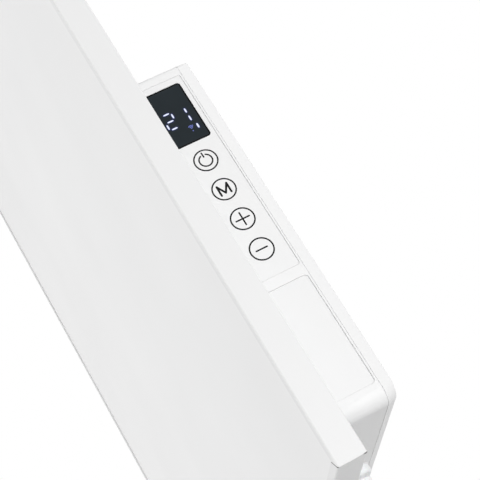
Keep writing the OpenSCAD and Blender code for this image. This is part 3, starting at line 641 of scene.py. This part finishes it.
ACROSS, LAVENDER_EDGE = 0.95, 0.24
EDGE_THICK, CORE_THICK = 0.02 * MM, 0.035 * MM
LIT = [
    # y, z, length along y, length along z, in mm
    (-24.6, -687.45, 3.2, ACROSS), (-22.25, -689.55, ACROSS, 2.8),
    (-24.6, -691.8, 3.3, ACROSS), (-27.05, -694.1, ACROSS, 3.0), (-24.6, -696.15, 3.1, ACROSS),
    (-15.4, -689.6, ACROSS, 2.7), (-15.4, -694.3, ACROSS, 3.0), (-14.1, -699.7, 1.05, 2.8),
]
glass_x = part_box("display_window")[1].x
cores = [segment(y, z, a - LAVENDER_EDGE, b - LAVENDER_EDGE) for y, z, a, b in LIT]
lit_edges = plate_from("lit_edges", [segment(*row) for row in LIT], glass_x, EDGE_THICK)
lit_cores = plate_from("lit_cores", cores, glass_x, CORE_THICK)
print(len(LIT), "segments on x =", round(glass_x, 5))

# %% Fan sign
FAN_Y, FAN_Z = -17.35, -700.45
FAN_RADII, FAN_WIDTH, FAN_SPREAD, FAN_DOT = (0.85, 1.55, 2.25), 0.36, 34, 0.55
fan = [arc_band(FAN_Y, FAN_Z, r, FAN_WIDTH, 90 - FAN_SPREAD, 90 + FAN_SPREAD, 10)
       for r in FAN_RADII]
fan.append(segment(FAN_Y - 0.1, FAN_Z - 0.8, FAN_DOT, FAN_DOT, 2.0, 12))
fan_sign = plate_from("fan_sign", fan, glass_x, EDGE_THICK)
print("fan sign has", len(fan), "shapes")

# %% Light of the segments
UNLIT = (0.02, 0.02, 0.05)
GLOWS = {
    "lit_edges": (0.16, 0.2, 0.68),
    "lit_cores": (0.9, 0.95, 1.0),
    "fan_sign": (0.13, 0.17, 0.55),
}
for piece in (lit_edges, lit_cores, fan_sign):
    mat, tree, shader = finish(piece.name, UNLIT, 0.15, drift_scale=400.0,
                               Emission_Strength=1.0)
    tone = add(tree, "Group", {"node_tree": drift}, Colour=(*GLOWS[piece.name], 1), Amount=0.12,
               Scale=500.0)
    tree.links.new(tone.outputs["Colour"], shader.inputs["Emission Color"])
    piece.data.materials.append(mat)
print("lit pieces:", ", ".join(GLOWS))

# %% [markdown]
# ### Smoked window
# The window is dark acrylic with a black printed rim on its back. A weak, wide glow round each
# segment is what makes the display read as lit from behind. Real dark acrylic would need light to
# pass through it; an opaque gloss with the glow in its emission gives the same view and far less
# noise.

# %% Smoked window
RIM, RIM_FADE = 0.75 * MM, 0.1 * MM
GLOW_INSET, GLOW_SPREAD = 0.25 * MM, 1.3 * MM
DEEP = 1  # a half depth along X that leaves X out of account
mat, tree, shader = finish("window_black", (0.016, 0.0225, 0.027), 0.12, drift_amount=0.1,
                           drift_scale=60.0, Specular_IOR_Level=0.12, Emission_Strength=1.0)
low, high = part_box("display_window")
centre, half = (low + high) / 2, (high - low) / 2
inside = add(tree, "Group", {"node_tree": near_box}, Centre=centre,
             Half=half - Vector((-DEEP, RIM, RIM)), Spread=RIM_FADE)
field = shader.inputs["Base Color"].links[0].from_socket
tree.links.new(blend(tree, inside.outputs["Mask"], (0.003, 0.003, 0.0035, 1), field),
               shader.inputs["Base Color"])
halos = [add(tree, "Group", {"node_tree": near_box}, Centre=(glass_x, y * MM, z * MM),
             Half=(DEEP, long_y / 2 * MM - GLOW_INSET, long_z / 2 * MM - GLOW_INSET),
             Spread=GLOW_SPREAD).outputs["Mask"] for y, z, long_y, long_z in LIT]
glow = halos[0]
for halo in halos[1:]:
    glow = calc(tree, "MAXIMUM", glow, halo)
tree.links.new(blend(tree, glow, (0, 0, 0, 1), (0.006, 0.009, 0.05, 1)),
               shader.inputs["Emission Color"])
relief(tree, shader, grain, strength=0.05, depth=0.005 * MM, Scale=300.0, Pits=0.0)
finishes["window_black"] = mat
print("window from", [round(v, 4) for v in low], "to", [round(v, 4) for v in high])

# %% [markdown]
# ## Finishes on the CAD nodes
# The record says which slot each node belongs to, so the finishes are handed out in one loop. The
# lead and its strain relief were made here, and they get the white of the cord.

# %% Hand out the finishes
for row in frame["record"]["subparts"]:
    obj = nodes[row["node"]]
    if not obj.material_slots:
        obj.data.materials.append(None)
    for slot in obj.material_slots:
        slot.material = finishes[row["material_slot"]]
for piece in (mains_lead, strain_relief):
    piece.data.materials.clear()
    piece.data.materials.append(finishes["cord_white"])

# %% [markdown]
# ## Soft edges
# Mouldings, posts and pins have no knife edges: a round of a few tenths of a millimetre catches a
# thin line of light. A Bevel modifier adds it without touching the CAD mesh, after a Weld has
# joined the split vertices of the import. The width is the real one for each kind of part. Folded
# sheets have their bends in the CAD model and stay as they are.

# %% Soft edges
WELD_WITHIN, SHARP = 0.002 * MM, radians(40)
EDGES = {
    # nodes: width of the round in mm
    ("housing_shell", "housing_cover"): 0.2,
    ("control_plate", "blank_insert"): 0.18,
    ("display_window",): 0.1,
    ("plug_body",): 0.5,
    ("spacer_posts", "spacer_pads", "cord_tie"): 0.4,
    ("relay", "transformer", "capacitors", "terminal_block"): 0.3,
    ("plug_pins",): 0.2,
}
def soften(obj, width):
    weld = obj.modifiers.new("weld", "WELD")
    weld.merge_threshold = WELD_WITHIN
    bevel = obj.modifiers.new("soft_edges", "BEVEL")
    bevel.width, bevel.segments = width * MM, 2
    bevel.limit_method, bevel.angle_limit = "ANGLE", SHARP
    bevel.use_clamp_overlap, bevel.harden_normals = True, False

for names, width in EDGES.items():
    for name in names:
        soften(nodes[name], width)
print(sum(len(names) for names in EDGES), "nodes with soft edges")

# %% [markdown]
# ## Light
# A studio shot on white: soft light from all round, a wide lamp on the side of the controls and a
# weaker one on the front. The world lights the object at a plain level, but rays from the camera
# and reflections see pure white, so the background stays white with no more light on the object.

# %% World
PLAIN_LIGHT = 0.5

def seen_directly(tree):
    """1 for the camera's rays and for those that metal or glass sends on, 0 for other light."""
    path = add(tree, "LightPath")
    seen = calc(tree, "MAXIMUM", path.outputs["Is Camera Ray"], path.outputs["Is Glossy Ray"])
    return calc(tree, "MAXIMUM", seen, path.outputs["Is Transmission Ray"])

world = bpy.data.worlds.new("studio")
bpy.context.scene.world = world
world.use_nodes = True
tree = world.node_tree
plain = tree.nodes["Background"]
plain.inputs["Color"].default_value = (1, 1, 1, 1)
plain.inputs["Strength"].default_value = PLAIN_LIGHT
white = add(tree, "Background", Color=(1, 1, 1, 1), Strength=1.0)
mixed = add(tree, "MixShader", n0=seen_directly(tree), n1=plain.outputs[0], n2=white.outputs[0])
tree.links.new(mixed.outputs[0], tree.nodes["World Output"].inputs["Surface"])
print("world at", PLAIN_LIGHT)

# %% Lamps
def lamp(name, place, target, size, power):
    """A round lamp that is itself out of sight, with its size in metres and power in watts."""
    data = bpy.data.lights.new(name, "AREA")
    data.shape, data.size, data.energy = "DISK", size, power
    obj = put(name, data)
    obj.location = place
    obj.visible_camera = False
    look_at(obj, target)

lamp("side_lamp", (2.3, 0.6, -1.25), (0.28, 0, -0.76), 2.0, 33)
lamp("front_lamp", (-0.1, -1.6, -0.6), (0.05, 0, -0.65), 1.2, 11)
print("lamps:", [light.name for light in bpy.data.lights])

# %% [markdown]
# ## Floor
# A pale floor lies below the plug. The camera looks up past it, so in the main view it only sends
# some light back to the undersides. For the camera and for reflections it is a little brighter than
# its light makes it, which keeps it near the white of the background from other sides.

# %% Floor
FLOOR_Z, FLOOR_HALF, FLOOR_LIFT = -2.8, 8, 0.4
corners = [(x * FLOOR_HALF, y * FLOOR_HALF, FLOOR_Z)
           for x, y in ((-1, -1), (1, -1), (1, 1), (-1, 1))]
data = bpy.data.meshes.new("floor")
data.from_pydata(corners, [], [(0, 1, 2, 3)])
floor = put("floor", data)
mat, tree, shader = finish("floor_pale", (0.78, 0.78, 0.78), 0.7, drift_scale=1.5)
shader.inputs["Emission Color"].default_value = (1, 1, 1, 1)
tree.links.new(calc(tree, "MULTIPLY", seen_directly(tree), FLOOR_LIFT),
               shader.inputs["Emission Strength"])
floor.data.materials.append(mat)
print("floor at z =", FLOOR_Z)

# %% Import json
import json
